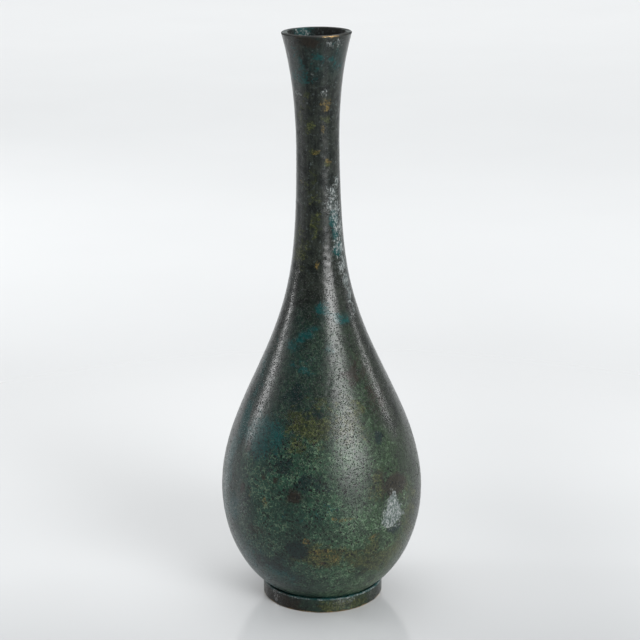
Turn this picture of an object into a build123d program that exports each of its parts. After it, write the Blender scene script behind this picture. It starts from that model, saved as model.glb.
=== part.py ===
from build123d import *

import os
from math import cos, radians, sin

# Cast bronze bottle vase: a pear-shaped belly, a long neck with a flared mouth, and a ring foot.
#
# Millimetres, +Z up. The origin is the centre of the face that the foot stands on, and -Y is the front.
# Belly and neck are two castings that meet in a soldered taper joint. The belly was cast open below, so
# that its clay core could come out, and is closed by a plate. A ring foot is soldered round the belly's
# collar, and small plugs fill the holes that the core's pins left in the belly's wall.

# Foot ring
FOOT_D = 59.4
FOOT_H = 7.5
FOOT_LEDGE = 1.6  # how far the ring stands out past the belly
FOOT_TOP_BEVEL = 0.5
FOOT_SOLE_BEVEL = 0.4

# Outline of the castings: diameters at its stations, and the rise from each station to the next
BELLY_D = 98.5
SHOULDER_D = 47.6
NECK_ROOT_D = 31.2
NECK_D = 21.1
LIP_D = 33.2
BELLY_RISE = 46.0
SHOULDER_RISE = 79.0
NECK_ROOT_RISE = 25.5
NECK_RISE = 50.0
LIP_RISE = 72.0
ROOT_SPLAY = 54.0  # lean of the outline from the vertical where it leaves the foot, in degrees
LIP_SPLAY = 16.0  # and where it ends at the lip

# Castings
WALL = 3.0
LIP_ROUND = 0.5
INSET_STEPS = 24  # points that carry the inner wall along the outer one
NEGLIGIBLE = 1e-6  # a length too small to matter

# Taper joint between belly and neck
JOINT_RISE = 10.0  # above the neck's root
SPIGOT_L = 8.0
SOLDER_GAP = 0.15

# Collar below the belly, and the plate that closes it
COLLAR_STEP = 2.0  # shoulder of the belly that sits on the foot ring
COLLAR_RIM = 1.5  # collar's wall outside the plate
PLATE_LAND = 1.5  # seat that the plate's edge bears on
PLATE_T = 2.5
PLATE_GAP = 0.1
BASE_RECESS = 3.0  # the plate's underside above the ground
FILLET_REACH = 0.6  # solder past the plate's joint
FILLET_DROP = 1.2
FILLET_SAG = 0.25

# Core-pin plugs
PLUG_COUNT = 4
PLUG_D = 6.0
PLUG_RISE = 14.5  # above the belly's widest place
PLUG_TURN = -15.0  # first plug, in degrees from the front towards +X

FOOT_R = FOOT_D / 2
ROOT_R = FOOT_R - FOOT_LEDGE
COLLAR_R = ROOT_R - COLLAR_STEP
PLATE_SEAT_R = COLLAR_R - COLLAR_RIM
CORE_HOLE_R = PLATE_SEAT_R - PLATE_LAND
FOOT_BORE_R = COLLAR_R + SOLDER_GAP
PLATE_TOP_Z = BASE_RECESS + PLATE_T
BELLY_Z = FOOT_H + BELLY_RISE
SHOULDER_Z = BELLY_Z + SHOULDER_RISE
NECK_ROOT_Z = SHOULDER_Z + NECK_ROOT_RISE
NECK_Z = NECK_ROOT_Z + NECK_RISE
HEIGHT = NECK_Z + LIP_RISE
JOINT_Z = NECK_ROOT_Z + JOINT_RISE
SPIGOT_END_Z = JOINT_Z - SPIGOT_L
PLUG_Z = BELLY_Z + PLUG_RISE


def at(radius, height):
    """A point of a section, on the half plane that is turned about the axis."""
    return Vector(radius, 0, height)


def leaning(degrees):
    """The upward direction that leans out from the vertical by an angle."""
    return Vector(sin(radians(degrees)), 0, cos(radians(degrees)))


def section(*edges):
    """The flat face that a closed chain of edges bounds."""
    return Face(Wire(edges))


def ring_section(*points):
    """The flat face of a straight-sided section."""
    return Face(Wire(Polyline(*points, close=True).edges()))


def turned(face):
    """A section turned once about the axis."""
    return Solid.revolve(face, 360, Axis.Z)


def outer_outline():
    """Outside of the castings, one smooth curve from the foot to the lip."""
    return Spline(
        at(ROOT_R, FOOT_H),
        at(BELLY_D / 2, BELLY_Z),
        at(SHOULDER_D / 2, SHOULDER_Z),
        at(NECK_ROOT_D / 2, NECK_ROOT_Z),
        at(NECK_D / 2, NECK_Z),
        at(LIP_D / 2, HEIGHT),
        tangents=[leaning(ROOT_SPLAY), leaning(LIP_SPLAY)],
        tangent_scalars=[1, 1],
    )


def inner_outline(outer):
    """Inside of the castings: the outer outline moved in by the wall, and ended level with the lip."""
    points = []
    for step in range(INSET_STEPS):
        share = step / INSET_STEPS
        along = outer.tangent_at(share)
        points.append(outer.position_at(share) + Vector(-along.Z, 0, along.X) * WALL)
    points.append(at(LIP_D / 2 - WALL / cos(radians(LIP_SPLAY)), HEIGHT))
    return Spline(points)


def radius_at(outline, height):
    """Radius where an outline passes a height, found by halving, as an outline only rises."""
    low, high = 0.0, 1.0
    while (high - low) * outline.length > NEGLIGIBLE:
        middle = (low + high) / 2
        if outline.position_at(middle).Z < height:
            low = middle
        else:
            high = middle
    return outline.position_at(low).X


def casting_section(outer, inner):
    """Belly and neck as one wall, with the collar and the plate's seat at its lower end."""
    inside = inner.position_at(0)
    collar = Polyline(
        inside,
        at(CORE_HOLE_R, inside.Z),
        at(CORE_HOLE_R, PLATE_TOP_Z),
        at(PLATE_SEAT_R, PLATE_TOP_Z),
        at(PLATE_SEAT_R, BASE_RECESS),
        at(COLLAR_R, BASE_RECESS),
        at(COLLAR_R, FOOT_H),
        outer.position_at(0),
    )
    lip = Line(outer.position_at(1), inner.position_at(1))
    return section(outer, lip, inner, *collar.edges())


def split_at_joint(casting, outer, inner):
    """Sections of the belly, the neck and the solder between them.

    The neck's spigot is the inner half of the wall. It tapers with the wall, and its end and its
    shoulder bear on the belly.
    """
    top, end = (
        (radius_at(outer, height) + radius_at(inner, height)) / 2 for height in (JOINT_Z, SPIGOT_END_Z)
    )
    beyond = BELLY_D  # past every side of the castings
    above = ring_section(
        at(0, SPIGOT_END_Z),
        at(end, SPIGOT_END_Z),
        at(top, JOINT_Z),
        at(beyond, JOINT_Z),
        at(beyond, HEIGHT + beyond),
        at(0, HEIGHT + beyond),
    )
    below = ring_section(
        at(0, SPIGOT_END_Z),
        at(end + SOLDER_GAP, SPIGOT_END_Z),
        at(top + SOLDER_GAP, JOINT_Z),
        at(beyond, JOINT_Z),
        at(beyond, -beyond),
        at(0, -beyond),
    )
    solder = ring_section(
        at(end, SPIGOT_END_Z),
        at(end + SOLDER_GAP, SPIGOT_END_Z),
        at(top + SOLDER_GAP, JOINT_Z),
        at(top, JOINT_Z),
    )
    return (casting & below).face(), (casting & above).face(), solder


def rounded_lip(neck):
    """The neck with both edges of its lip rounded."""
    circles = neck.edges().filter_by(GeomType.CIRCLE)
    lip_edges = [edge for edge in circles if edge.center().Z > HEIGHT - NEGLIGIBLE]
    return fillet(lip_edges, min(LIP_ROUND, WALL / 3))


def foot_ring():
    """Ring foot with a bevelled top edge and a bevelled sole."""
    return turned(
        ring_section(
            at(FOOT_BORE_R + FOOT_SOLE_BEVEL, 0),
            at(FOOT_R - FOOT_SOLE_BEVEL, 0),
            at(FOOT_R, FOOT_SOLE_BEVEL),
            at(FOOT_R, FOOT_H - FOOT_TOP_BEVEL),
            at(FOOT_R - FOOT_TOP_BEVEL, FOOT_H),
            at(FOOT_BORE_R, FOOT_H),
            at(FOOT_BORE_R, FOOT_SOLE_BEVEL),
        )
    )


def base_plate():
    """Disc that closes the belly from below, flush with the collar's end."""
    radius = PLATE_SEAT_R - PLATE_GAP
    return turned(
        ring_section(at(0, BASE_RECESS), at(radius, BASE_RECESS), at(radius, PLATE_TOP_Z), at(0, PLATE_TOP_Z))
    )


def foot_solder():
    """Film of solder between the collar and the foot ring's bore."""
    return turned(
        ring_section(
            at(COLLAR_R, BASE_RECESS),
            at(FOOT_BORE_R, BASE_RECESS),
            at(FOOT_BORE_R, FOOT_H),
            at(COLLAR_R, FOOT_H),
        )
    )


def base_solder():
    """Hollow fillet of solder in the corner below the collar, over the plate's joint."""
    corner = at(FOOT_BORE_R, BASE_RECESS)
    on_plate = at(PLATE_SEAT_R - FILLET_REACH, BASE_RECESS)
    on_ring = at(FOOT_BORE_R, BASE_RECESS - FILLET_DROP)
    towards_corner = (corner - (on_plate + on_ring) / 2).normalized()
    hollow = (on_plate + on_ring) / 2 + towards_corner * FILLET_SAG
    return turned(
        section(Line(corner, on_plate), ThreePointArc(on_plate, hollow, on_ring), Line(on_ring, corner))
    )


def pin_holes(outer):
    """Cylinders through the belly's wall where the core's pins stood, evenly spaced round it."""
    length = 4 * WALL  # past both faces of the wall
    middle = radius_at(outer, PLUG_Z) - WALL / 2
    holes = []
    for index in range(PLUG_COUNT):
        turn = PLUG_TURN + index * 360 / PLUG_COUNT
        hole = Pos(0, -middle, PLUG_Z) * Rot(X=90) * Cylinder(PLUG_D / 2, length)
        holes.append(Rot(Z=turn) * hole)
    return holes


def build():
    """All pieces of the vase by name."""
    outer = outer_outline()
    inner = inner_outline(outer)
    belly_face, neck_face, neck_solder_face = split_at_joint(casting_section(outer, inner), outer, inner)
    belly_wall = turned(belly_face)
    holes = pin_holes(outer)
    return {
        "belly": belly_wall - holes,
        "neck": rounded_lip(turned(neck_face)),
        "foot_ring": foot_ring(),
        "base_plate": base_plate(),
        "core_plugs": Compound([(belly_wall & hole).solid() for hole in holes]),
        "neck_solder": turned(neck_solder_face),
        "foot_solder": foot_solder(),
        "base_solder": base_solder(),
    }


def main():
    os.makedirs("parts", exist_ok=True)
    for name, piece in build().items():
        piece.label = name
        export_step(piece, f"parts/{name}.step")


main()
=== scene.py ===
from math import cos, pi, radians, sin

import bpy
import numpy as np
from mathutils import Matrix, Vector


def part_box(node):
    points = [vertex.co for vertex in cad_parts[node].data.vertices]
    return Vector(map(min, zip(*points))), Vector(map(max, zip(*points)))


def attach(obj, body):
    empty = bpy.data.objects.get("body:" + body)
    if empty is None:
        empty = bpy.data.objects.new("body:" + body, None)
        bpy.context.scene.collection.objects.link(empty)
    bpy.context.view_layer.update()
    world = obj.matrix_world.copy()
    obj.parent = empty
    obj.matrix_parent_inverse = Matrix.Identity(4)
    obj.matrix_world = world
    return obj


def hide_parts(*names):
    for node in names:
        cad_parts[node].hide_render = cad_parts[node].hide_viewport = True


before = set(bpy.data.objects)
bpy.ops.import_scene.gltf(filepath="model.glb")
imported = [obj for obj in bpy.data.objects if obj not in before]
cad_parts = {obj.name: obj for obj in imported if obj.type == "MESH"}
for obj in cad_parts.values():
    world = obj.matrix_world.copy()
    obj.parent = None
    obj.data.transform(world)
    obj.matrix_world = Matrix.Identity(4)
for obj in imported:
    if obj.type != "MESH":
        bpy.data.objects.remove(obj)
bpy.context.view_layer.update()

# Cast bronze bottle vase with a mottled patina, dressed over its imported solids. Metres, +Z up, -Y is the
# front. Angles round the axis are azimuths: degrees from the front towards +X.

MM = 0.001
SEAM_WIDTH = 1e-7  # a packed point this near to the half plane y = 0 lies on its node's seam
SHARP_TURN = radians(25)  # a section that turns more than this at one point has an edge there
CREASE = radians(38)  # an edge of a piece that is sharper than this stays sharp

JOINT_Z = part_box("belly")[1].z
LIP_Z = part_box("neck")[1].z
FOOT_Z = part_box("foot_ring")[1].z
FOOT_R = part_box("foot_ring")[1].x
PLATE_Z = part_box("base_plate")[0].z
PLATE_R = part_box("base_plate")[1].x
PLATE_TOP_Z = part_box("base_plate")[1].z
PLUG_LOW, PLUG_HIGH = (corner.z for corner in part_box("core_plugs"))

# Turned grids: steps along a section and round the axis
WALL_STEP = 0.9 * MM
WALL_TURN = radians(9)
INNER_STEPS = 3  # how much longer the steps along an inner wall are
BELLY_COLUMNS = 280
NECK_STEP = 0.75 * MM
NECK_COLUMNS = 168
FOOT_STEP = 0.4 * MM
FOOT_COLUMNS = 360
WALL_SOFTNESS = 0.25 * MM
FOOT_SOFTNESS = 0.3 * MM

# Relief of the castings
CAST_SINK = 0.06 * MM
CAST_SWELL = 0.04 * MM
CAST_SWELL_LENGTH = 24 * MM
CAST_RIPPLE = 0.016 * MM
CAST_RIPPLE_LENGTH = 3.4 * MM
PIT_DEPTH = 0.11 * MM
PIT_LENGTH = 4.6 * MM
CRUST_RISE = 0.13 * MM
CORE_ROUGHNESS = 0.12 * MM
CORE_LENGTH = 5.5 * MM

# Plugs, foot, base plate and fillet
PLUG_COLUMNS = 48
PLUG_SLACK = 0.03 * MM
PLUG_SINK = 1.3 * CAST_SINK
PLUG_EDGE = 0.1 * MM  # how much lower a plug's filed rim lies
PLUG_MARGIN = 6 * MM
CUT_REACH = 4 * MM  # how far a hole's cutter goes past the wall
FOOT_SINK = 0.05 * MM
FOOT_SWELL = 0.02 * MM
FOOT_RIPPLE = 0.01 * MM
DENT_SEED = 23
DENT_COUNT = 26
DENT_RISE = 1.1 * MM
PLATE_COLUMNS = 144
PLATE_RINGS = 190
PLATE_RIM = 0.25 * MM
PLATE_DISH = 0.22 * MM
MARK_DEPTH = 0.035 * MM
MARK_PITCH = 1.15 * MM
DIMPLE_DEPTH = 0.7 * MM
DIMPLE_R = 1.1 * MM
FILLET_COLUMNS = 288

# Zones of the patina: two heights in mm between which it sets in, or an azimuth and its half width
GREEN_ZONE = (182, 130)
LEAF_ZONE = (112, 70)
STIPPLE_ZONE = (185, 140)
LOW_ZONE = (42, 18)
STAIN_ZONE = (262, 272)
INNER_STAIN = (212, 24)
BARE_LIP = (21, 19)
PALE_LIP_ENDS = ((-92, 24), (88, 15))

# Patina patches on the outside: azimuth, height in mm, half width and half height in mm, strength
PATCHES = {
    "verdigris": [
        (43.2, 52.8, 7.2, 4.8, 1.25), (43.6, 56.5, 5.2, 4.8, 1.2), (43.9, 61.8, 2.7, 4.2, 1),
        (-61, 54, 3.5, 5, 0.42), (59, 210.5, 2.4, 3.6, 0.55), (40, 206, 3.4, 3.6, 0.62),
        (33, 200.5, 3.2, 4, 0.68), (50, 197, 4.2, 5.5, 0.72), (58, 189.5, 4.4, 5.5, 0.75),
        (56, 180, 4.4, 6, 0.78), (59, 171, 4.2, 6, 0.72), (62, 163, 3.8, 5, 0.66),
        (61, 156, 2.8, 4.5, 0.6), (64, 149, 2.2, 4, 0.5), (33, 276.5, 5, 2.2, 0.46),
        (-51, 252.5, 3, 1.3, 0.5), (17, 253.5, 1.6, 1.9, 0.5), (-9, 262, 1.1, 0.9, 0.45),
        (22, 5.5, 7, 1.6, 0.36),
    ],
    "teal": [
        (-26, 137, 3.6, 1.2, 0.95), (-18, 139.3, 4.4, 1.9, 1), (-8, 142.5, 4.4, 1.5, 0.6),
        (-32, 134, 5, 3, 0.5), (34.5, 146, 6.7, 3.2, 0.62), (12, 134, 3.5, 5, 0.4),
        (-12, 126, 11, 10, 0.22), (-66, 110, 6, 22, 0.5), (-74, 60, 8, 26, 0.45),
        (-43.2, 93.1, 16.2, 9.8, 0.75), (-60.7, 53.2, 5.5, 7, 0.9), (-66, 95, 4.5, 13, 1),
        # The teal patches at azimuths -56 and -62, low on the belly, are partly teal patina and partly a
        # painted reflection: a bluish sheen of the bright floor on the lower left.
        (-70, 80, 6, 10, 0.7), (-4, 59, 20, 8, 0.26), (-56, 28, 15, 14, 0.7), (-32, 24, 14, 9, 0.6),
        (-62, 15, 14, 9, 0.75), (0, 268, 10, 14, 0.3), (-1, 270.7, 4, 5, 0.36), (42, 268, 7, 12, 0.37),
        (-45, 264, 7, 12, 0.42), (41, 192.5, 2.6, 3.6, 1), (47.5, 178, 2.8, 3.6, 1),
        (42, 185, 2, 3.4, 0.8), (5, 150, 5, 6, 0.35),
    ],
    "olive": [
        (-9, 101, 10.5, 9, 0.92), (-14, 90, 8, 7, 0.5), (-0.2, 36.6, 11.4, 5.9, 0.95),
        (26.1, 34.9, 12, 9, 0.85), (42, 32, 16, 14, 0.55), (58, 48, 10, 20, 0.4), (18, 100, 12, 12, 0.45),
        (30, 106, 8, 7, 0.5), (34, 70, 7, 9, 0.45), (-7.6, 192.2, 3, 8, 0.52),
        (-16.1, 238.2, 2.8, 1.6, 0.6), (22, 240, 2.8, 2.6, 0.5), (-5, 225.2, 2.6, 1.4, 0.8),
        (26, 219, 2.4, 2.4, 0.6), (-30, 235, 2, 1.6, 0.5), (-20, 205, 5, 12, 0.3),
        (-50, 177, 6, 10, 0.45), (-40, 245, 6, 12, 0.34), (14, 3, 10, 3.5, 0.8), (34, 3, 8, 3.5, 0.7),
    ],
    "rust": [
        (22.5, 247.8, 2.4, 3.2, 0.62), (13, 236.5, 1, 2, 0.85), (-5, 225.2, 2.2, 1, 0.7),
        (26.7, 220.5, 1.5, 1.5, 0.65), (-2.1, 171.5, 1.3, 1.9, 0.6), (-46, 211, 1.6, 1.6, 0.45),
        (7, 57.6, 1.6, 1.1, 1.2), (14.3, 56.6, 4, 0.8, 1.05), (-8.9, 45.5, 2, 1.4, 0.95),
        (0.7, 40.3, 7, 1, 0.9), (2, 36.5, 8, 4, 0.34), (-33.5, 63.4, 1.2, 2.2, 0.9),
        (-44.8, 64.8, 1.2, 1.4, 0.7), (30, 45.5, 3.5, 0.9, 0.5), (-20, 101, 1.5, 1, 0.5),
    ],
    "umber": [
        (-15.6, 68, 3.9, 3.6, 1), (46.8, 68.6, 7.4, 5.6, 1.3), (39, 73, 6, 5, 0.4),
        (0.4, 33.6, 2, 1.5, 0.85), (-27.6, 74.3, 1.6, 1.8, 0.85), (-35.6, 74.8, 1.8, 1.6, 0.7),
        (-51.5, 65.7, 1.8, 4.2, 0.65), (-40, 47.5, 7, 3, 0.55), (-53, 88, 3, 4, 0.6),
        (33, 122, 8, 10, 0.48), (48, 112, 9, 12, 0.48), (-38, 3, 12, 5, 0.8), (-64, 3, 8, 5, 0.8),
        (-36, 279, 1.4, 1, 0.9), (-12, 277, 7, 2.6, 0.7),
    ],
    "navy": [
        (-15.2, 40.4, 5.4, 4.8, 1.25), (46.5, 46, 6, 3.6, 0.6), (41.8, 91.8, 3.6, 3, 0.9),
        (-31.4, 31, 18, 11, 0.5), (-9, 74, 13, 6.5, 0.52), (-24, 82, 10, 8, 0.5), (-6, 106, 8, 7, 0.4),
        (-22, 112, 10, 8, 0.5),
    ],
}
BACK_SEED = 41
BACK_COUNTS = {"verdigris": 7, "teal": 8, "olive": 8, "rust": 9, "umber": 6, "navy": 3}
SLIM_KINDS = ("rust", "verdigris")
NECK_PATCH = 3.2  # widest drawn patch on the neck, in mm
PATCH_FALL = 1.1
FIELD_NAMES = (
    "green", "stipple", "verdigris", "teal", "olive", "rust", "umber", "navy", "wear", "core", "warm",
)
THREAD_WARP = 0.0035


# Shapes


def joined(*parts):
    """Arrays joined along a new last axis."""
    return np.stack(parts, axis=-1)


def smooth_step(low, high, value):
    """Rises from 0 at low to 1 at high along the cubic 3 t^2 - 2 t^3."""
    share = np.clip((value - low) / (high - low), 0.0, 1.0)
    return share * share * (3.0 - 2.0 * share)


def bell(value, middle, width):
    """Bell curve: e to the minus square of the distance from the middle in widths."""
    return np.exp(-(((value - middle) / width) ** 2))


def waves(places, length, seed, count=28):
    """Random field of about unit spread: the sum of count sine waves in 3-D with seeded headings,
    lengths within 30% of the given one, and phases."""
    draw = np.random.default_rng(seed)
    heading = draw.normal(size=(count, 3))
    heading /= np.linalg.norm(heading, axis=1, keepdims=True)
    pace = 2 * pi / (length * draw.uniform(0.7, 1.3, count))
    phase = draw.uniform(0, 2 * pi, count)
    return np.sin(places @ (heading * pace[:, None]).T + phase).sum(axis=1) * np.sqrt(2.0 / count)


def node_section(name):
    """Section of a turned node as (radius, height) points in order: its triangle edges that lie in the
    half plane y = 0, x > 0 are welded at their ends and followed once round."""
    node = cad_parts[name]
    places = piece_places(node)
    ends = np.empty(len(node.data.edges) * 2, dtype=np.int32)
    node.data.edges.foreach_get("vertices", ends)
    ends = ends.reshape(-1, 2)
    on_seam = (np.abs(places[:, 1]) < SEAM_WIDTH) & (places[:, 0] > 0)
    ends = ends[on_seam[ends].all(axis=1)]
    points, index = np.unique(np.round(places[:, [0, 2]], 7), axis=0, return_inverse=True)
    index = index.reshape(-1)
    links = np.unique(np.sort(index[ends], axis=1), axis=0)
    links = links[links[:, 0] != links[:, 1]]
    both = np.concatenate([links, links[:, ::-1]])
    both = both[np.argsort(both[:, 0], kind="stable")]
    neighbours = dict(zip(both[::2, 0].tolist(), both[:, 1].reshape(-1, 2).tolist()))
    order = [int(links[0, 0])]
    ahead = neighbours[order[0]][0]
    while ahead != order[0]:
        left, right = neighbours[ahead]
        order.append(ahead)
        ahead = right if left == order[-2] else left
    return points[order]


def turn_angles(loop):
    """Angle by which a closed section turns at each of its points."""
    before = loop - np.roll(loop, 1, axis=0)
    after = np.roll(loop, -1, axis=0) - loop
    cross = before[:, 0] * after[:, 1] - before[:, 1] * after[:, 0]
    return np.arctan2(cross, (before * after).sum(axis=1))


def softened(loop, softness, keep_sharp):
    """A closed section with its edges rounded: each sharp point, except where keep_sharp says so, becomes
    five points of the quadratic curve that the point pulls towards itself."""
    turns = np.abs(turn_angles(loop))
    ends = []
    for shift in (1, -1):
        side = np.roll(loop, shift, axis=0) - loop
        length = np.linalg.norm(side, axis=1, keepdims=True)
        ends.append(loop + side / length * np.minimum(softness, 0.4 * length))
    start, end = ends
    share = np.linspace(0, 1, 5)[:, None, None]
    curve = (1 - share) ** 2 * start + 2 * share * (1 - share) * loop + share ** 2 * end
    rounded = (turns > SHARP_TURN) & ~keep_sharp(loop)
    picked = np.where(rounded[:, None, None], curve.transpose(1, 0, 2), loop[:, None, :])
    wanted = np.where(rounded[:, None], True, np.arange(5)[None, :] == 0)
    return picked[wanted]


def curve_through(points, step, turn):
    """Points on the natural cubic curve through the given ones, at a pace that rises with the curve's bend:
    one for each step of length, and one more for each turn of angle. Where the curve goes down, as an inner
    wall does, the steps are longer."""
    chord = np.linalg.norm(np.diff(points, axis=0), axis=1)
    steps = chord / np.where(np.diff(points[:, 1]) < 0, INNER_STEPS * step, step)
    if len(points) == 2:
        share = np.linspace(0, 1, max(2, int(np.ceil(steps[0])) + 1))[:, None]
        return points[0] * (1 - share) + points[1] * share
    along = np.concatenate([[0.0], np.cumsum(chord)])
    slope = np.diff(points, axis=0) / chord[:, None]
    bend_angle = np.zeros(len(points))
    heading = np.unwrap(np.arctan2(slope[:, 1], slope[:, 0]))
    bend_angle[1:-1] = np.abs(np.diff(heading))
    system = np.eye(len(points))
    middle = np.arange(1, len(points) - 1)
    system[middle, middle - 1] = chord[:-1]
    system[middle, middle] = 2 * (chord[:-1] + chord[1:])
    system[middle, middle + 1] = chord[1:]
    load = np.zeros_like(points)
    load[1:-1] = 6 * np.diff(slope, axis=0)
    bend = np.linalg.solve(system, load)
    effort = np.concatenate([[0.0], np.cumsum(steps + (bend_angle[:-1] + bend_angle[1:]) / 2 / turn)])
    at = np.interp(np.linspace(0, effort[-1], int(np.ceil(effort[-1])) + 1), effort, along)
    span = np.clip(np.searchsorted(along, at, side="right") - 1, 0, len(chord) - 1)
    width = chord[span][:, None]
    ahead = ((at - along[span]) / chord[span])[:, None]
    back = 1 - ahead
    sag = ((back ** 3 - back) * bend[span] + (ahead ** 3 - ahead) * bend[span + 1]) * width ** 2 / 6
    return back * points[span] + ahead * points[span + 1] + sag


def fine_section(name, step, turn, softness, keep_sharp=lambda loop: np.zeros(len(loop), dtype=bool)):
    """A node's section drawn finely and anticlockwise: edges softened, then each stretch between the sharp
    points that are left is a smooth curve through its points."""
    loop = softened(node_section(name), softness, keep_sharp)
    area = (loop[:, 0] * np.roll(loop[:, 1], -1) - np.roll(loop[:, 0], -1) * loop[:, 1]).sum()
    loop = loop if area > 0 else loop[::-1]
    sharp = np.flatnonzero(np.abs(turn_angles(loop)) > SHARP_TURN)
    if len(sharp) == 0:
        longest = np.argmax(np.linalg.norm(np.roll(loop, -1, axis=0) - loop, axis=1))
        loop = np.roll(loop, -longest, axis=0)
        sharp = np.array([0])
    loop = np.roll(loop, -sharp[0], axis=0)
    sharp = np.append(sharp - sharp[0], len(loop))
    loop = np.concatenate([loop, loop[:1]])
    stretches = [curve_through(loop[a:b + 1], step, turn)[:-1] for a, b in zip(sharp[:-1], sharp[1:])]
    return np.clip(np.concatenate(stretches), loop.min(axis=0), loop.max(axis=0))


def outward_share(section):
    """Radial part of a section's outward normal at each point, for a section that runs anticlockwise."""
    run = np.roll(section, -1, axis=0) - np.roll(section, 1, axis=0)
    return run[:, 1] / np.linalg.norm(run, axis=1)


def spun(section, columns):
    """Points of a section turned about the axis, one row for each of its points: radius r and angle a
    become (r cos a, r sin a, height)."""
    angle = np.arange(columns) * (2 * pi / columns)
    radius = section[:, 0][:, None]
    height = np.repeat(section[:, 1][:, None], columns, axis=1)
    return joined(radius * np.cos(angle), radius * np.sin(angle), height)


def grid_faces(rows, columns, close_rows=True):
    """Four-sided faces of a grid of points that closes round its columns, and round its rows if asked."""
    row = np.arange(rows if close_rows else rows - 1)[:, None]
    column = np.arange(columns)
    above, beside = (row + 1) % rows, (column + 1) % columns
    corners = ((row, column), (row, beside), (above, beside), (above, column))
    return joined(*(up * columns + along for up, along in corners)).reshape(-1, 4)


def moved_in(places, depth):
    """Points moved towards the axis by a depth: their radius shrinks and their height stays."""
    radius = np.hypot(places[:, 0], places[:, 1])
    share = np.where(radius > 0, (radius - depth) / np.maximum(radius, MM), 1.0)
    return places * joined(share, share, np.ones_like(share))


def azimuths(places):
    """Degrees from the front towards +X."""
    return np.degrees(np.arctan2(places[:, 0], -places[:, 1]))


def smooth_but_creases(mesh):
    """Shades a mesh smooth but for its creases."""
    mesh.polygons.foreach_set("use_smooth", np.ones(len(mesh.polygons), dtype=bool))
    mesh.set_sharp_from_angle(angle=CREASE)


def put(name, data):
    """A new object in the scene."""
    made = bpy.data.objects.new(name, data)
    bpy.context.scene.collection.objects.link(made)
    return made


def put_mesh(name, places, faces):
    """A piece from points and faces, which are turned outwards by the sign of their volume."""
    volume = 0.0
    for last in range(2, faces.shape[1]):
        first, second, third = (places[faces[:, corner]] for corner in (0, last - 1, last))
        volume += (first * np.cross(second, third)).sum()
    mesh = bpy.data.meshes.new(name)
    mesh.from_pydata(places, [], faces if volume > 0 else faces[:, ::-1])
    mesh.update()
    smooth_but_creases(mesh)
    return put(name, mesh)


def piece_places(piece):
    """A piece's points as an array."""
    places = np.empty(len(piece.data.vertices) * 3, dtype=np.float32)
    piece.data.vertices.foreach_get("co", places)
    return places.reshape(-1, 3).astype(float)


# Patina


def all_patches():
    """The table of patches with more of each kind drawn at random for the sides that face away."""
    draw = np.random.default_rng(BACK_SEED)
    full = {}
    for kind, patches in PATCHES.items():
        count = BACK_COUNTS[kind]
        slim = kind in SLIM_KINDS
        azimuth = draw.uniform(85, 275, count)
        low = draw.random(count) < 0.75
        height = np.where(low, draw.uniform(20, 130, count), draw.uniform(150, 270, count))
        width = draw.uniform(1.2, 3.5, count) if slim else draw.uniform(4, 12, count)
        tall = draw.uniform(1.2, 5.0, count) if slim else draw.uniform(4, 11, count)
        strength = draw.uniform(0.5, 0.95, count)
        width = np.where(low, width, np.minimum(width, NECK_PATCH))
        drawn = joined(azimuth, height, width, tall, strength)
        full[kind] = np.concatenate([np.array(patches), drawn])
    return full


PATCH_TABLE = all_patches()


def patch_field(places, kind):
    """Strength of one kind of patch: at each patch the field falls along a bell from its strength at the
    middle to a third of it at the patch's edge, and the strongest patch counts."""
    azimuth, height, width, tall, strength = PATCH_TABLE[kind].T
    turn = (azimuths(places)[:, None] - azimuth + 180) % 360 - 180
    radius = np.hypot(places[:, 0], places[:, 1])[:, None]
    across = np.radians(turn) * radius / (width * MM)
    up = (places[:, 2][:, None] - height * MM) / (tall * MM)
    return (strength * np.exp(-PATCH_FALL * (across ** 2 + up ** 2))).max(axis=1)


def rise(length, low, high):
    """Smooth rise from 0, where a length is low, to 1, where it is high, both in mm."""
    return smooth_step(low * MM, high * MM, length)


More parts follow.
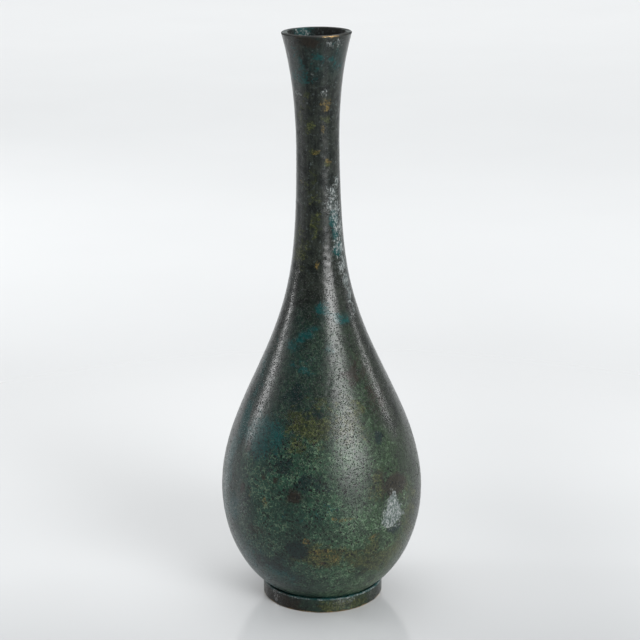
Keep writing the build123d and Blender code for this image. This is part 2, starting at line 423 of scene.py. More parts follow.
def wall_fields(places, outward):
    """Patina fields of a casting's wall, 0 to 1 at each point. Green and stipple fade up the neck, patches
    lie on the outside only, the lip's front right edge and the sole's edge are worn bare, the groove over
    the foot is teal, and the core's side is marked."""
    z = places[:, 2]
    azimuth = azimuths(places)
    radius = np.hypot(places[:, 0], places[:, 1])
    outside = smooth_step(-0.2, 0.3, outward)
    on_ring = rise(radius - FOOT_R, -1.2, -0.5)
    fields = {kind: patch_field(places, kind) * outside for kind in PATCHES}

    def lift(kind, share):
        fields[kind] = np.maximum(fields[kind], share)

    green = 0.1 + 0.45 * rise(z, *GREEN_ZONE) + 0.45 * rise(z, *LEAF_ZONE)
    low_left = rise(z, *LOW_ZONE) * smooth_step(-12, -45, azimuth) * smooth_step(-125, -95, azimuth)
    facing = 0.5 + 0.5 * np.cos(np.radians(2 * azimuth))
    green *= (1 - 0.4 * low_left) * (0.3 + 0.7 * outside) * (0.5 + 0.5 * smooth_step(0.1, 0.7, facing))
    on_foot = rise(z - FOOT_Z, 0.1, -0.1) * on_ring
    fields["green"] = green * (1 - 0.4 * on_foot)
    fields["warm"] = 0.5 + 0.5 * np.sin(np.radians(azimuth - 5))
    fields["stipple"] = 0.12 + 0.88 * rise(z, *STIPPLE_ZONE)
    bare_lip = bell(azimuth, *BARE_LIP)
    lip = rise(z - LIP_Z, -1.8, -0.3) * smooth_step(-0.1, 0.4, outward)
    sole = rise(z, 1.3, 0.2) * rise(radius - FOOT_R, -1.6, -0.4)
    fields["wear"] = np.maximum(lip * (0.12 + 0.5 * bare_lip), sole * 0.66)
    lip_edge = rise(z - LIP_Z, -0.9, -0.3) * (1 - bare_lip)
    fields["core"] = np.maximum(1 - smooth_step(-0.6, -0.1, outward), 0.75 * lip_edge)
    level = rise(z - LIP_Z, -0.5, -0.2) * smooth_step(0.75, 0.35, np.abs(outward))
    pale = level * sum(bell(azimuth, *end) for end in PALE_LIP_ENDS)
    lift("verdigris", 0.9 * pale)
    lift("stipple", pale)
    # A pale line of verdigris all round the top edge of the foot ring: partly verdigris at the seam, partly a
    # painted highlight of that edge.
    lift("verdigris", 0.42 * bell(z, FOOT_Z - 0.5 * MM, 0.4 * MM) * on_ring * outside)
    lift("teal", 0.75 * bell(z, FOOT_Z, 0.9 * MM) * outside)
    stain = bell(azimuth % 360, *INNER_STAIN) * rise(z, *STAIN_ZONE) * (1 - outside)
    lift("teal", 0.75 * stain)
    lift("verdigris", 0.42 * stain)
    return fields


def paint(piece):
    """Stores the patina fields on a piece's points, with the outward share from its normals."""
    places = piece_places(piece)
    normals = np.empty(len(places) * 3, dtype=np.float32)
    piece.data.vertex_normals.foreach_get("vector", normals)
    normals = normals.reshape(-1, 3)
    radius = np.maximum(np.hypot(places[:, 0], places[:, 1]), MM)
    outward = (normals[:, 0] * places[:, 0] + normals[:, 1] * places[:, 1]) / radius
    fields = wall_fields(places, outward)
    for field in FIELD_NAMES:
        layer = piece.data.attributes.new(field, "FLOAT", "POINT")
        layer.data.foreach_set("value", np.ascontiguousarray(fields[field], dtype=np.float32))


def cast_depth(places, outward):
    """Depth of a casting's skin below its drawn section. Outside: a small sink, a long swell, a fine ripple
    and sparse pits, less the crust's rise, never above the section. Inside: the core's coarse roughness."""
    outside = smooth_step(0.0, 0.5, outward)
    crust = smooth_step(0.25, 0.7, patch_field(places, "verdigris") + 0.12 * waves(places, 2.6 * MM, 5))
    skin = CAST_SINK + CAST_SWELL * waves(places, CAST_SWELL_LENGTH, 11) * 0.7
    skin += CAST_RIPPLE * waves(places, CAST_RIPPLE_LENGTH, 12)
    skin += PIT_DEPTH * smooth_step(1.7, 2.5, waves(places, PIT_LENGTH, 13))
    skin -= CRUST_RISE * crust * (0.7 + 0.3 * waves(places, 3.0 * MM, 14))
    core = CORE_ROUGHNESS * waves(places, CORE_LENGTH, 15)
    inside = smooth_step(0.0, 0.5, -outward) * smooth_step(LIP_Z, LIP_Z - 4 * MM, places[:, 2])
    return np.maximum(skin, 0.0) * outside + core * inside * 0.5


# Pieces


def joint_edges(loop):
    """Points of the taper joint between belly and neck, whose edges stay sharp, so that the wall runs on."""
    return (loop[:, 1] > JOINT_Z - 9 * MM) & (loop[:, 1] < JOINT_Z + MM)


def casting(name, step, columns):
    """One turned casting with a cast skin: its fine section spun about the axis, each point then sunk."""
    section = fine_section(name, step, WALL_TURN, WALL_SOFTNESS, joint_edges)
    grid = spun(section, columns)
    outward = np.repeat(outward_share(section), columns)
    places = grid.reshape(-1, 3)
    places = moved_in(places, cast_depth(places, outward))
    return put_mesh(name + "_casting", places, grid_faces(len(section), columns)), section


def wall_radii(section, outside, heights):
    """Radius of the belly's outer or inner wall at some heights, read along its section."""
    share = outward_share(section)
    wall = share > 0.3 if outside else share < -0.3
    wall &= (section[:, 1] > PLUG_LOW - PLUG_MARGIN) & (section[:, 1] < PLUG_HIGH + PLUG_MARGIN)
    points = section[wall]
    points = points[np.argsort(points[:, 1])]
    return np.interp(heights, points[:, 1], points[:, 0])


def plug_places(section, azimuth, grow, reach):
    """One core-pin plug along the radius at an azimuth: discs that follow the belly's outer and inner wall,
    joined by a round side. Rows go from the outer disc's middle over its rim to the inner one's. Reach takes
    both discs past the wall."""
    rings = np.concatenate([np.linspace(0, 0.93, 9), [0.97, 1.0]])
    size = np.concatenate([rings, rings[::-1]])
    outer_row = np.arange(len(size)) < len(rings)
    radius = (PLUG_HIGH - PLUG_LOW) / 2 + grow
    turn = np.arange(PLUG_COLUMNS) * (2 * pi / PLUG_COLUMNS)
    side = radius * size[:, None] * np.cos(turn)
    up = radius * size[:, None] * np.sin(turn)
    height = (PLUG_LOW + PLUG_HIGH) / 2 + up
    edge = smooth_step(0.9, 1.0, size)[:, None]
    walls = (wall_radii(section, outside, height) for outside in (True, False))
    outer, inner = (np.sqrt(np.maximum(wall ** 2 - side ** 2, 0)) for wall in walls)
    outer = outer + reach - (0.0 if reach else PLUG_SINK + PLUG_EDGE * edge)
    depth = np.where(outer_row[:, None], outer, inner - reach)
    front = radians(azimuth)
    ahead = np.array([sin(front), -cos(front), 0.0])
    aside = np.array([cos(front), sin(front), 0.0])
    places = depth[..., None] * ahead + side[..., None] * aside
    places[..., 2] += height
    return places


def closed_plug(places):
    """Points and faces of a plug whose first and last rows are single points: triangles fan out from each,
    and a row of four-sided faces, split in two, joins each pair of rings."""
    rows, columns = places.shape[:2]
    points = np.concatenate([places[:1, 0], places[1:-1].reshape(-1, 3), places[-1:, 0]])
    quads = grid_faces(rows - 2, columns, close_rows=False) + 1
    column = np.arange(columns)
    beside = (column + 1) % columns
    last = len(points) - 1
    first_fan = joined(np.zeros(columns, dtype=int), beside + 1, column + 1)
    end = last - columns
    last_fan = joined(np.full(columns, last), end + column, end + beside)
    return points, np.concatenate([first_fan, quads[:, [0, 1, 2]], quads[:, [0, 2, 3]], last_fan])


def plug_azimuths():
    """Azimuths of the four plugs: the front one's is the mean over its packed points, and the rest follow at
    quarter turns."""
    front = azimuths(piece_places(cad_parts["core_plugs"]))
    return np.mean(front[np.abs(front) < 45]) + np.arange(4) * 90.0


def plugs_mesh(name, section, grow, reach):
    """All four plugs as one mesh."""
    shells = [closed_plug(plug_places(section, azimuth, grow, reach)) for azimuth in plug_azimuths()]
    starts = np.cumsum([0] + [len(points) for points, _ in shells[:-1]])
    places = np.concatenate([points for points, _ in shells])
    faces = np.concatenate([faces + start for (_, faces), start in zip(shells, starts)])
    return put_mesh(name, places, faces)


def drilled(piece, cutter):
    """Takes a cutter's volume out of a piece and keeps the result as the piece's mesh."""
    cut = piece.modifiers.new("pin_holes", "BOOLEAN")
    cut.operation = "DIFFERENCE"
    cut.solver = "MANIFOLD"
    cut.object = cutter
    bpy.context.view_layer.update()
    whole = piece.data
    piece.data = bpy.data.meshes.new_from_object(piece.evaluated_get(bpy.context.evaluated_depsgraph_get()))
    piece.modifiers.clear()
    smooth_but_creases(piece.data)
    bpy.data.meshes.remove(whole)
    blank = cutter.data
    bpy.data.objects.remove(cutter)
    bpy.data.meshes.remove(blank)


def foot_piece():
    """Ring foot: its section with rounded edges spun about the axis, sunk by a gentle swell, and dented along
    its sole's edge at seeded places, each dent a bell across its azimuth and up the wall."""
    section = fine_section("foot_ring", FOOT_STEP, WALL_TURN, FOOT_SOFTNESS)
    places = spun(section, FOOT_COLUMNS).reshape(-1, 3)
    outside = smooth_step(0.0, 0.5, np.repeat(outward_share(section), FOOT_COLUMNS))
    draw = np.random.default_rng(DENT_SEED)
    spots = draw.uniform(-180, 180, DENT_COUNT)
    widths = draw.uniform(1.2, 5.0, DENT_COUNT)
    depths = draw.uniform(0.03, 0.16, DENT_COUNT) * MM
    turn = (azimuths(places)[:, None] - spots + 180) % 360 - 180
    depth = FOOT_SINK + FOOT_SWELL * waves(places, 16 * MM, 21) + FOOT_RIPPLE * waves(places, 3 * MM, 22)
    depth += (depths * bell(turn, 0, widths)).sum(axis=1) * bell(places[:, 2], 0, DENT_RISE)
    worn = moved_in(places, np.maximum(depth, 0) * outside)
    return put_mesh("foot_ring_worn", worn, grid_faces(len(section), FOOT_COLUMNS))


def base_piece():
    """Base plate: a disc turned on its underside. The underside rises by a slight dish, a ripple of round
    tool marks and a small dimple at the centre; the rim is rounded and the inner face is flat."""
    radius = np.linspace(0, PLATE_R - PLATE_RIM, PLATE_RINGS)
    dish = PLATE_DISH * (1 - (radius / PLATE_R) ** 2)
    marks = 0.5 + 0.5 * np.cos(2 * pi * radius / MARK_PITCH)
    marks = MARK_DEPTH * marks * smooth_step(0, 3 * MM, radius)
    under = joined(radius, PLATE_Z + dish + marks + DIMPLE_DEPTH * bell(radius, 0, DIMPLE_R))
    bend = np.linspace(0, pi / 2, 6)[1:]
    rim_radius = PLATE_R - PLATE_RIM * (1 - np.sin(bend))
    rim = joined(rim_radius, PLATE_Z + PLATE_RIM * (1 - np.cos(bend)))
    inner = np.linspace(PLATE_R, 0, 14)
    top = joined(inner, np.full_like(inner, PLATE_TOP_Z))
    points, faces = closed_plug(spun(np.concatenate([under, rim, top]), PLATE_COLUMNS))
    return put_mesh("base_plate_turned", points, faces)


def fillet_piece():
    """Lumpy solder fillet under the plate's joint: the corner between plate and ring filled by a hollow curve
    that comes nearer to the corner or goes further from it round the ring by seeded waves."""
    low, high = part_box("base_solder")
    corner = np.array([high.x, high.z])
    reach_in = np.array([PLATE_R - 0.5 * MM, high.z])
    reach_down = np.array([high.x, low.z])
    share = np.linspace(0, 1, 9)[:, None]
    pull = corner * 0.35 + (reach_in + reach_down) / 2 * 0.65
    hollow = (1 - share) ** 2 * reach_in + 2 * share * (1 - share) * pull + share ** 2 * reach_down
    section = np.concatenate([corner[None], hollow])
    angle = np.arange(FILLET_COLUMNS) * (2 * pi / FILLET_COLUMNS)
    heading = joined(np.cos(angle), np.sin(angle), np.zeros_like(angle))
    lumps = 0.86 + 0.07 * waves(heading * high.x, 14 * MM, 31) + 0.04 * waves(heading * high.x, 5 * MM, 32)
    size = np.clip(lumps, 0.6, 1.0)
    radius = corner[0] + np.outer(section[:, 0] - corner[0], size)
    height = corner[1] + np.outer(section[:, 1] - corner[1], size)
    grid = joined(radius * heading[:, 0], radius * heading[:, 1], height)
    return put_mesh("base_solder_fillet", grid.reshape(-1, 3), grid_faces(len(section), FILLET_COLUMNS))


# Finishes


class Web:
    """Puts nodes into one node tree and joins them."""

    def __init__(self, tree):
        self.tree = tree

    def add(self, kind, **settings):
        """A new shader node with some settings."""
        made = self.tree.nodes.new("ShaderNode" + kind)
        for name, value in settings.items():
            setattr(made, name, value)
        return made

    def feed(self, socket, value):
        """Joins an input to an output, or sets it to a value."""
        if isinstance(value, bpy.types.NodeSocket):
            self.tree.links.new(value, socket)
        else:
            socket.default_value = value

    def fill(self, node, **values):
        """Feeds a node's inputs by name, with _ for a space, and gives its outputs."""
        for name, value in values.items():
            self.feed(node.inputs[name.replace("_", " ")], value)
        return node.outputs

    def line_up(self, node, *values):
        """Feeds a node's inputs in order and gives its first output."""
        for socket, value in zip(node.inputs, values):
            self.feed(socket, value)
        return node.outputs[0]

    def group(self, tree, **values):
        """Outputs of a shared group whose inputs are fed by name."""
        return self.fill(self.add("Group", node_tree=tree), **values)

    def noise(self, place, scale, detail, roughness, distortion=0.0):
        """Cloudy noise between 0 and 1."""
        grain = {"Detail": detail, "Roughness": roughness, "Distortion": distortion}
        return self.fill(self.add("TexNoise"), Vector=place, Scale=scale, **grain)["Fac"]

    def cells(self, place, scale, feature="F1"):
        """Outputs of cells round scattered points."""
        return self.fill(self.add("TexVoronoi", feature=feature), Vector=place, Scale=scale)

    def sum(self, first, second, operation="ADD"):
        """Two values added, or joined by another operation."""
        return self.line_up(self.add("Math", operation=operation), first, second)

    def times(self, first, *others):
        """Values multiplied."""
        for other in others:
            first = self.sum(first, other, "MULTIPLY")
        return first

    def scaled(self, value, factor, shift):
        """A value times a factor, plus a shift."""
        return self.line_up(self.add("Math", operation="MULTIPLY_ADD"), value, factor, shift)

    def step(self, value, low, high, bottom=0.0, top=1.0):
        """Smooth rise from bottom, where the value is low, to top, where it is high."""
        made = self.add("MapRange", interpolation_type="SMOOTHSTEP")
        return self.fill(made, Value=value, From_Min=low, From_Max=high, To_Min=bottom, To_Max=top)["Result"]

    def blend(self, share, first, second):
        """A colour that goes from the first to the second with a share."""
        made = self.add("Mix", data_type="RGBA")
        for socket, value in ((0, share), (6, first), (7, second)):
            self.feed(made.inputs[socket], value)
        return made.outputs[2]

    def place(self):
        """Place on the piece, in its own frame."""
        return self.add("TexCoord").outputs["Object"]

    def stretched(self, place, *factors):
        """A place with each axis scaled by its factor."""
        return self.line_up(self.add("VectorMath", operation="MULTIPLY"), place, factors)

    def parts(self, place):
        """The three coordinates of a place."""
        made = self.add("SeparateXYZ")
        self.feed(made.inputs[0], place)
        return made.outputs["X"], made.outputs["Y"], made.outputs["Z"]


def tint(red, green, blue):
    """A colour for a socket."""
    return (red, green, blue, 1.0)


def grey(level):
    """A grey for a socket."""
    return tint(level, level, level)


CHARCOAL = tint(0.0076, 0.0098, 0.0084)
SMOKE = tint(0.0208, 0.0246, 0.02)
DEEP_COOL = tint(0.0055, 0.0215, 0.019)
DEEP_WARM = tint(0.0125, 0.0222, 0.01)
LEAF_COOL = tint(0.015, 0.07, 0.05)
LEAF_WARM = tint(0.054, 0.101, 0.038)
CORE_DARK = tint(0.006, 0.0068, 0.0064)
PALE_GREEN = tint(0.115, 0.174, 0.11)
TEAL = tint(0.003, 0.048, 0.048)
OLIVE = tint(0.021, 0.027, 0.01)
OLIVE_THREAD = tint(0.088, 0.098, 0.036)
GOLD_BROWN = tint(0.152, 0.106, 0.029)
UMBER = tint(0.0165, 0.013, 0.0092)
NAVY = tint(0.0036, 0.013, 0.013)
BLACK_GRAIN = tint(0.002, 0.0028, 0.0026)
VERDIGRIS_PALE = tint(0.245, 0.262, 0.256)
VERDIGRIS_DEEP = tint(0.03, 0.048, 0.05)
VERDIGRIS_GREY = tint(0.085, 0.106, 0.106)
BARE_BRONZE = tint(0.27, 0.185, 0.09)
SOLDER_GREY = tint(0.24, 0.235, 0.225)
SOLDER_DARK = tint(0.07, 0.068, 0.064)
PLATE_BROWN = tint(0.07, 0.045, 0.021)
PLATE_DARK = tint(0.017, 0.015, 0.011)


def new_group(name, inputs, outputs):
    """An empty shader node group with named sockets, all numbers but Color, and a start for each input."""
    group = bpy.data.node_groups.new(name, "ShaderNodeTree")
    for socket, start in inputs.items():
        made = group.interface.new_socket(socket, in_out="INPUT", socket_type="NodeSocketFloat")
        made.default_value = start
    for socket in outputs:
        kind = "NodeSocketColor" if socket == "Color" else "NodeSocketFloat"
        group.interface.new_socket(socket, in_out="OUTPUT", socket_type=kind)
    ends = [group.nodes.new(kind) for kind in ("NodeGroupInput", "NodeGroupOutput")]
    return group, Web(group), ends[0].outputs, ends[1]


def cast_grain_group():
    """Fine grain of a cast and pickled skin: black dots round scattered points, wider where a noise is high,
    and a height that is low in the dots and uneven between them."""
    group, web, given, out = new_group("cast_grain", {"Amount": 1.0, "Scale": 1000.0}, ["Specks", "Height"])
    place, scale = web.place(), given["Scale"]
    coarse = web.noise(place, web.times(scale, 0.6), 2.0, 0.6)
    fine = web.noise(place, web.times(scale, 1.8), 2.0, 0.6)
    beyond = web.scaled(coarse, -0.6, web.cells(place, scale)["Distance"])
    specks = web.times(web.step(beyond, 0.08, -0.06), given["Amount"])
    web.fill(out, Specks=specks, Height=web.sum(web.times(fine, -0.45), web.times(specks, -1.0)))
    return group


def wisps_group():
    """Thin winding lines where a warped noise passes its middle level, broken up by a second noise."""
    group, web, given, out = new_group("winding_wisps", {"Scale": 400.0, "Width": 0.05}, ["Mask"])
    place, scale = web.place(), given["Scale"]
    winding = web.noise(place, scale, 3.0, 0.55, 0.6)
    distance = web.sum(web.scaled(winding, 1.0, -0.5), 0.0, "ABSOLUTE")
    line = web.step(distance, given["Width"], web.times(given["Width"], 0.35))
    broken = web.step(web.noise(place, web.times(scale, 1.7), 2.0, 0.5), 0.44, 0.58)
    web.fill(out, Mask=web.times(line, broken))
    return group


def thread_net_group():
    """A net of thin threads with pinholes. The net follows the edges of cells round scattered points, warped
    by a noise and kept only where a second noise is high. A pinhole is a small disc at some points of a finer
    scatter."""
    starts = {"Scale": 420.0, "Width": 0.07}
    group, web, given, out = new_group("thread_net", starts, ["Threads", "Pinholes"])
    place, scale = web.place(), given["Scale"]
    warp = web.add("TexNoise")
    warp = web.fill(warp, Vector=place, Scale=scale, Detail=2.0)["Color"]
    pull = web.add("VectorMath", operation="MULTIPLY_ADD")
    warped = web.line_up(pull, warp, (THREAD_WARP, THREAD_WARP, THREAD_WARP), place)
    edge = web.cells(warped, scale, "DISTANCE_TO_EDGE")["Distance"]
    line = web.step(edge, given["Width"], web.times(given["Width"], 0.3))
    broken = web.step(web.noise(place, web.times(scale, 0.9), 3.0, 0.6), 0.42, 0.54)
    dots = web.cells(warped, web.times(scale, 1.45))
    some = web.line_up(web.add("SeparateColor"), dots["Color"])
    disc = web.times(web.step(dots["Distance"], 0.47, 0.35), web.step(some, 0.5, 0.6))
    web.fill(out, Threads=web.times(line, broken), Pinholes=disc)
    return group


def ragged_patch_group():
    """A patch with a broken edge: its soft field plus three sizes of noise, cut at a level."""
    starts = {"Field": 0.0, "Ragged": 1.0, "Scale": 300.0, "Level": 0.45, "Softness": 0.15}
    group, web, given, out = new_group("ragged_patch", starts, ["Mask"])
    place, scale = web.place(), given["Scale"]
    broad = web.noise(place, scale, 2.0, 0.5, 0.6)
    middle = web.noise(place, web.times(scale, 3.1), 2.0, 0.5, 0.4)
    small = web.noise(place, web.times(scale, 9.0), 1.0, 0.5)
    rough = web.sum(web.scaled(broad, 1.3, -0.65), web.scaled(middle, 0.9, -0.45))
    rough = web.sum(rough, web.scaled(small, 0.8, -0.4))
    share = web.times(given["Ragged"], web.step(given["Field"], 0.0, 0.15))
    lifted = web.sum(given["Field"], web.times(rough, share))
    low = web.sum(given["Level"], given["Softness"], "SUBTRACT")
    high = web.sum(given["Level"], given["Softness"])
    web.fill(out, Mask=web.step(lifted, low, high))
    return group


def patina_group(grain, ragged, wisps, net):
    """Mottled patina of a bronze casting. A charcoal ground turns green by its field and two sizes of
    mottling, then ragged patches of teal, olive, navy, umber and gold brown lie on it, then the black grain,
    the pale crust of verdigris and the bare worn metal."""
    starts = {field.capitalize(): 0.0 for field in FIELD_NAMES}
    looks = ["Color", "Roughness", "Metallic", "Height"]
    group, web, given, out = new_group("mottled_patina", starts, looks)
    place = web.place()
    noise, step, blend = web.noise, web.step, web.blend
    times, plus, scaled = web.times, web.sum, web.scaled
    broad = noise(place, 48.0, 4.0, 0.6, 0.5)
    middle = noise(place, 190.0, 5.0, 0.65, 0.3)
    fine = noise(place, 640.0, 3.0, 0.6)
    stipple, green = given["Stipple"], given["Green"]
    bare = scaled(stipple, -1.0, 1.0)

    def patch(field, scale, rough, level, softness):
        """Mask of one kind of patch."""
        made = web.add("Group", node_tree=ragged)
        return web.line_up(made, given[field], rough, scale, level, softness)

    grains = web.group(grain, Amount=stipple, Scale=1200.0)
    specks = grains["Specks"]
    brushed = noise(web.stretched(place, 1.0, 1.0, 0.1), 1100.0, 2.0, 0.5)
    streaked = plus(times(brushed, bare), times(fine, stipple))
    tone = plus(times(middle, 0.6), times(streaked, 0.4))
    ground = blend(step(tone, 0.42, 0.6), CHARCOAL, SMOKE)
    mottle = plus(scaled(broad, 1.3, -0.65), scaled(middle, 1.0, -0.5))
    greened = step(plus(mottle, times(green, 1.3)), 0.15, 0.95)
    greened = times(greened, step(green, 0.05, 0.6))
    color = blend(greened, ground, blend(given["Warm"], DEEP_COOL, DEEP_WARM))
    pinpoint = noise(place, 980.0, 2.0, 0.6)
    speckled = plus(times(mottle, 0.9), scaled(pinpoint, 0.5, -0.25))
    leaf = times(step(speckled, -0.35, 0.5), step(green, 0.45, 0.95, 0.0, 0.85))
    color = blend(leaf, color, blend(given["Warm"], LEAF_COOL, LEAF_WARM))
    color = blend(given["Core"], color, CORE_DARK)
    scuffs = step(noise(place, 760.0, 3.0, 0.7, 0.4), 0.56, 0.68, 0.0, 0.5)
    color = blend(times(scuffs, bare), color, VERDIGRIS_GREY)
    threads = web.group(wisps, Scale=520.0, Width=0.045)["Mask"]
    lace = web.group(net, Scale=520.0, Width=0.1)
    grown = step(green, 0.32, 0.82, 0.06, 1.0)
    patchy = step(mottle, -0.2, 0.3, 0.25, 0.95)
    color = blend(times(lace["Threads"], grown, patchy), color, PALE_GREEN)
    color = blend(step(given["Teal"], 0.05, 0.7, 0.0, 0.4), color, TEAL)
    color = blend(times(patch("Teal", 85.0, 1.1, 0.46, 0.13), 0.72), color, TEAL)
    olive = patch("Olive", 85.0, 1.2, 0.42, 0.22)
    color = blend(times(olive, 0.8), color, OLIVE)
    olive_lines = plus(times(threads, 0.45), times(lace["Threads"], 0.75), "MAXIMUM")
    color = blend(times(olive, olive_lines), color, OLIVE_THREAD)
    color = blend(times(patch("Navy", 150.0, 0.8, 0.4, 0.14), 0.9), color, NAVY)
    color = blend(times(patch("Umber", 170.0, 0.9, 0.42, 0.22), 0.92), color, UMBER)
    rust_lines = scaled(plus(threads, step(fine, 0.5, 0.62), "MAXIMUM"), 0.75, 0.1)
    color = blend(times(patch("Rust", 330.0, 1.2, 0.38, 0.2), rust_lines), color, GOLD_BROWN)
    flecks = step(noise(place, 820.0, 2.5, 0.62), 0.47, 0.59)
    color = blend(times(flecks, scaled(green, 0.15, 0.25)), color, BLACK_GRAIN)
    color = blend(times(specks, 0.55), color, BLACK_GRAIN)
    spotted = step(noise(place, 130.0, 3.0, 0.55), 0.38, 0.54, 0.45, 1.0)
    color = blend(times(lace["Pinholes"], grown, spotted), color, BLACK_GRAIN)
    powder = noise(web.stretched(place, 1.0, 1.0, 0.55), 1450.0, 2.0, 0.55)
    crust = patch("Verdigris", 430.0, scaled(stipple, -0.12, 1.05), 0.4, 0.15)
    crust = times(crust, step(powder, 0.42, 0.52, scaled(stipple, 0.46, 0.12), 1.0))
    crust_deep = blend(stipple, VERDIGRIS_DEEP, VERDIGRIS_GREY)
    crust_color = blend(step(powder, 0.44, 0.64), crust_deep, VERDIGRIS_PALE)
    color = blend(times(crust, 0.9), color, crust_color)
    worn = patch("Wear", 420.0, 0.9, 0.5, 0.16)
    color = blend(worn, color, BARE_BRONZE)

    rough = plus(scaled(tone, 0.26, 0.06), step(green, 0.2, 1.0, 0.03, 0.18))
    for share, amount in ((specks, 0.25), (crust, 0.45), (given["Core"], 0.75), (worn, 0.18)):
        rough = plus(rough, times(share, amount))
    height = plus(plus(grains["Height"], times(crust, 0.9)), times(middle, 0.5))
    web.fill(out, Color=color, Roughness=rough, Metallic=worn, Height=height)
    return group


def new_material(name, specular):
    """A material, the web of its nodes and its shader."""
    made = bpy.data.materials.new(name)
    made.use_nodes = True
    shader = made.node_tree.nodes["Principled BSDF"]
    shader.inputs["Specular IOR Level"].default_value = specular
    return made, Web(made.node_tree), shader


def patina_material(name, group, specular, relief):
    """Patina on one piece: its fields go into the shared patina, whose height is a bump."""
    made, web, shader = new_material(name, specular)
    fields = {}
    for field in FIELD_NAMES:
        fields[field.capitalize()] = web.add("Attribute", attribute_name=field).outputs["Fac"]
    patina = web.group(group, **fields)
    bump = web.fill(web.add("Bump"), Strength=1.0, Distance=relief, Height=patina["Height"])
    web.fill(shader, Roughness=patina["Roughness"], Metallic=patina["Metallic"])
    web.fill(shader, Base_Color=patina["Color"], Normal=bump["Normal"])
    return made


def dull_metal_material(name, grain, bright, dark, metallic, scale, relief):
    """Dull bare metal: two tones and a roughness by a cloudy noise, darkened by the shared grain."""
    made, web, shader = new_material(name, 0.5)
    cloud = web.noise(web.place(), scale, 5.0, 0.62, 0.4)
    grains = web.group(grain, Amount=0.7, Scale=900.0)
    color = web.blend(web.step(cloud, 0.36, 0.66), dark, bright)
    color = web.blend(web.times(grains["Specks"], 0.6), color, BLACK_GRAIN)
    bump = web.fill(web.add("Bump"), Distance=relief, Height=web.sum(grains["Height"], cloud))
    web.fill(shader, Base_Color=color, Normal=bump["Normal"])
    share = web.step(cloud, 0.3, 0.7, metallic * 0.6, metallic)
    web.fill(shader, Roughness=web.scaled(cloud, 0.35, 0.28), Metallic=share)
    return made


# Building

belly, belly_section = casting("belly", WALL_STEP, BELLY_COLUMNS)
neck, _ = casting("neck", NECK_STEP, NECK_COLUMNS)
drilled(belly, plugs_mesh("pin_cutters", belly_section, 0.0, CUT_REACH))
plugs = plugs_mesh("core_plugs_filed", belly_section, -PLUG_SLACK, 0.0)
foot = foot_piece()
plate = base_piece()
fillet = fillet_piece()

cast_grain = cast_grain_group()
ragged_patch = ragged_patch_group()
mottled_patina = patina_group(cast_grain, ragged_patch, wisps_group(), thread_net_group())
solder_dull = dull_metal_material("dull_solder", cast_grain, SOLDER_GREY, SOLDER_DARK, 0.9, 420.0, 0.06 * MM)
plate_dull = dull_metal_material(
    "brown_base_bronze", cast_grain, PLATE_BROWN, PLATE_DARK, 0.55, 110.0, 0.05 * MM
)

for piece, node, slot, material in (
    (belly, "belly", "belly_bronze", patina_material("belly_patina", mottled_patina, 0.34, 0.08 * MM)),
    (neck, "neck", "neck_bronze", patina_material("neck_patina", mottled_patina, 0.34, 0.05 * MM)),
    (foot, "foot_ring", "foot_bronze", patina_material("foot_patina", mottled_patina, 0.28, 0.07 * MM)),
    (plugs, "core_plugs", "plug_bronze", patina_material("plug_patina", mottled_patina, 0.34, 0.08 * MM)),
    (plate, "base_plate", "base_bronze", plate_dull),
    (fillet, "base_solder", "solder", solder_dull),
):
    piece.data.materials.clear()
    piece.data.materials.append(material)
    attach(piece, "root")
    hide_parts(node)
for piece in (belly, neck, foot, plugs):
    paint(piece)
for node in ("neck_solder", "foot_solder"):
    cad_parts[node].material_slots[0].material = solder_dull


# Stage

SWEEP_BACK = 5.2
SWEEP_BEND = 0.5
SWEEP_WALL = 0.1
# Ends of the board's tone; the share between them carries painted light and shade.
BOARD_DARK = tint(0.157, 0.165, 0.174)
BOARD_PALE = tint(0.886, 0.904, 0.914)
# Middle of a painted pool of light on the floor, left of the vase.
PAINTED_LIGHT_SPOT = (-1.05, -0.25, 0.0)
CEILING = 1.9
LAMP_CENTRE = 0.13

# Azimuth and elevation, distance, width, height and brightness of each lamp
LAMPS = {
    "key_core": (37.5, 20.0, 1.3, 0.38, 0.46, 7.3),
    "key_box": (37.5, 19.2, 1.3, 0.64, 0.54, 6.3),
    "key_halo": (37, 18.0, 1.3, 0.9, 0.66, 2.5),
    "key_skirt": (38, 7.6, 1.3, 0.72, 0.12, 15.5),
    "key_fringe": (39, 1.4, 1.3, 0.44, 0.14, 6.0),
    "left_strip": (-103, 12, 1.2, 0.065, 0.4, 33.0),
    "left_rim": (-142, 10, 1.2, 0.24, 0.4, 2.8),
    "left_glow": (-92, 21, 1.2, 0.42, 0.46, 1.6),
    "right_strip": (107, 12.5, 1.2, 0.07, 0.34, 18.0),
}

LENS_MM = 107.09
SENSOR_MM = 36.0
CAMERA_PLACE = (0.00014, -0.8809, 0.4043)
CAMERA_TILT = radians(16.653)
CAMERA_ROLL = radians(-0.655)


def softbox(name, azimuth, elevation, distance, width, height, brightness):
    """A rectangular lamp seen from the vase at an azimuth and elevation, turned to face it. Its power is pi
    times its area times its brightness."""
    lamp = bpy.data.lights.new(name, "AREA")
    lamp.shape = "RECTANGLE"
    lamp.size = width
    lamp.size_y = height
    lamp.energy = pi * width * height * brightness
    obj = put(name, lamp)
    turn, rising = radians(azimuth), radians(elevation)
    away = distance * cos(rising)
    obj.location = (away * sin(turn), -away * cos(turn), LAMP_CENTRE + distance * sin(rising))
    obj.rotation_euler = (pi / 2 - rising, 0.0, turn)


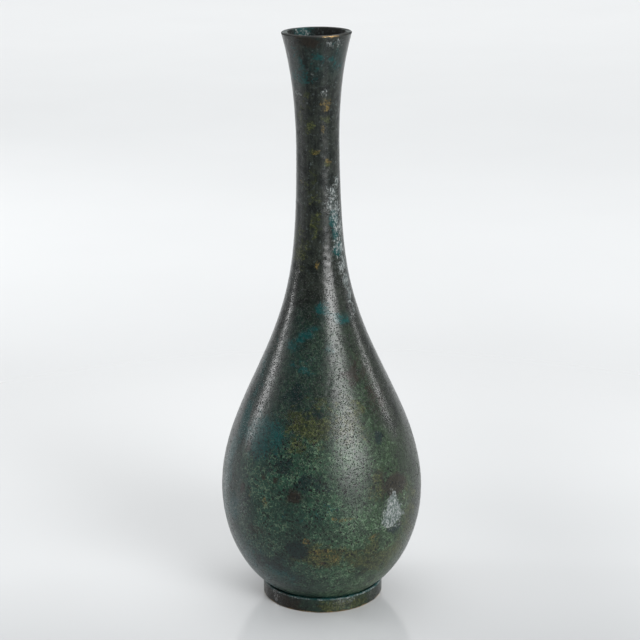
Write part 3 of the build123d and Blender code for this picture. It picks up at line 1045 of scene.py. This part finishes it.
def sweep_piece():
    """Floor that runs back and curves up into a wall: a profile of a straight, a quarter circle and a
    straight, carried sideways."""
    bend = np.linspace(0, pi / 2, 24)
    flat = np.array([-5.0, -2.0, -0.5, 0.5, 2.5, SWEEP_BACK - 0.3, SWEEP_BACK - 0.1])
    depth = np.concatenate([flat, SWEEP_BACK + SWEEP_BEND * np.sin(bend), [SWEEP_BACK + SWEEP_BEND]])
    height = np.concatenate([np.zeros_like(flat), SWEEP_BEND * (1 - np.cos(bend)), [SWEEP_BEND + SWEEP_WALL]])
    across, depth = np.meshgrid(np.linspace(-7.0, 7.0, 15), depth)
    rows, columns = depth.shape
    places = joined(across, depth, np.repeat(height[:, None], columns, axis=1)).reshape(-1, 3)
    here = np.arange(rows - 1)[:, None] * columns + np.arange(columns - 1)
    faces = joined(here, here + 1, here + columns + 1, here + columns).reshape(-1, 4)
    mesh = bpy.data.meshes.new("paper_sweep")
    mesh.from_pydata(places, [], faces)
    mesh.polygons.foreach_set("use_smooth", np.ones(len(mesh.polygons), dtype=bool))
    return put("paper_sweep", mesh)


def sweep_material():
    """Pale satin board whose tone carries painted light and shade: it rises from front to back, with a
    lighter band behind the vase, as a painted fall of light;
    it is lighter round its foot and in a pool on the left as painted light, darker on the lamp-lit right side
    near the vase and far to the sides as painted shade, and polished near the vase."""
    made, web, shader = new_material("pale_board", 0.5)
    place, step, times = web.place(), web.step, web.times
    x, y, _ = web.parts(place)
    uneven = web.scaled(web.noise(place, 6.0, 3.0, 0.5), 0.04, -0.02)
    aside = step(web.sum(x, 0.0, "ABSOLUTE"), 0.6, 1.2)
    # Painted light: the tone rises from front to back in three steps.
    near = step(y, -0.3, 0.05, 0.0, 0.555)
    middle = step(y, 0.08, 0.85, 0.0, 0.19)
    far = step(y, 0.9, 2.2, 0.0, 0.16)
    # Painted shade: the tone falls far to the sides.
    share = times(web.sum(web.sum(near, middle), far), web.scaled(aside, -0.75, 1.0))
    # Painted light: a lighter band behind the vase.
    band = times(step(y, 0.06, 0.18), step(y, 0.6, 0.2))
    # Painted shade: darker where the key lamps light the floor on the right, and just right of the vase.
    painted_shade_lit_side = times(step(x, 0.0, 0.14), step(y, 0.6, 0.1), step(y, -0.12, 0.04))
    beside = times(step(x, 0.0, 0.05), step(x, 0.22, 0.1), step(y, 0.45, 0.1))
    for zone, amount in ((band, 0.06), (painted_shade_lit_side, -0.05), (beside, -0.07)):
        share = web.sum(share, times(zone, amount))
    reach = web.fill(web.add("VectorMath", operation="LENGTH"), Vector=place)["Value"]
    # Painted light round the foot, which softens the vase's shadow on the floor there.
    share = web.sum(share, step(reach, 0.15, 0.04, 0.0, 0.07))
    # Painted pool of light on the floor to the left of the vase.
    painted_light_pool = web.add("VectorMath", operation="DISTANCE")
    web.line_up(painted_light_pool, place, PAINTED_LIGHT_SPOT)
    share = web.sum(share, step(painted_light_pool.outputs["Value"], 0.7, 0.3, 0.0, 0.75))
    tone = web.blend(web.sum(share, uneven), BOARD_DARK, BOARD_PALE)
    polished = step(reach, 0.25, 0.8, 0.12, 1.0)
    web.fill(shader, Base_Color=tone, Roughness=web.sum(polished, uneven))
    return made


def studio_world():
    """Grey room, dim in front of the vase and lighter behind it, with a ceiling that is bright behind it."""
    world = bpy.data.worlds.new("grey_room")
    bpy.context.scene.world = world
    world.use_nodes = True
    web = Web(world.node_tree)
    _, y, z = web.parts(web.add("TexCoord").outputs["Generated"])
    back = web.step(y, -0.8, 0.3)
    walls = web.blend(back, grey(0.06), grey(0.32))
    behind = web.times(web.step(y, 0.8, 0.92), web.step(z, 0.2, 0.32))
    low = web.times(web.step(y, 0.5, 0.9), web.step(z, 0.25, 0.12))
    walls = web.blend(low, web.blend(behind, walls, grey(0.95)), grey(0.05))
    ceiling = web.blend(back, grey(0.3), grey(1.0))
    color = web.blend(web.step(z, 0.4, 0.75), walls, ceiling)
    strength = web.step(z, 0.4, 0.75, 1.0, CEILING)
    web.fill(world.node_tree.nodes["Background"], Color=color, Strength=strength)


sweep = sweep_piece()
sweep.data.materials.append(sweep_material())
studio_world()
for lamp_name, lamp_sizes in LAMPS.items():
    softbox(lamp_name, *lamp_sizes)

lens = bpy.data.cameras.new("photo_camera")
lens.lens = LENS_MM
lens.sensor_width = SENSOR_MM
camera = put("photo_camera", lens)
camera.location = CAMERA_PLACE
camera.rotation_mode = "XYZ"
camera.rotation_euler = (pi / 2 - CAMERA_TILT, 0.0, 0.0)
camera.rotation_euler.rotate_axis("Z", CAMERA_ROLL)
bpy.context.scene.camera = camera
bpy.context.scene.view_settings.view_transform = "Standard"
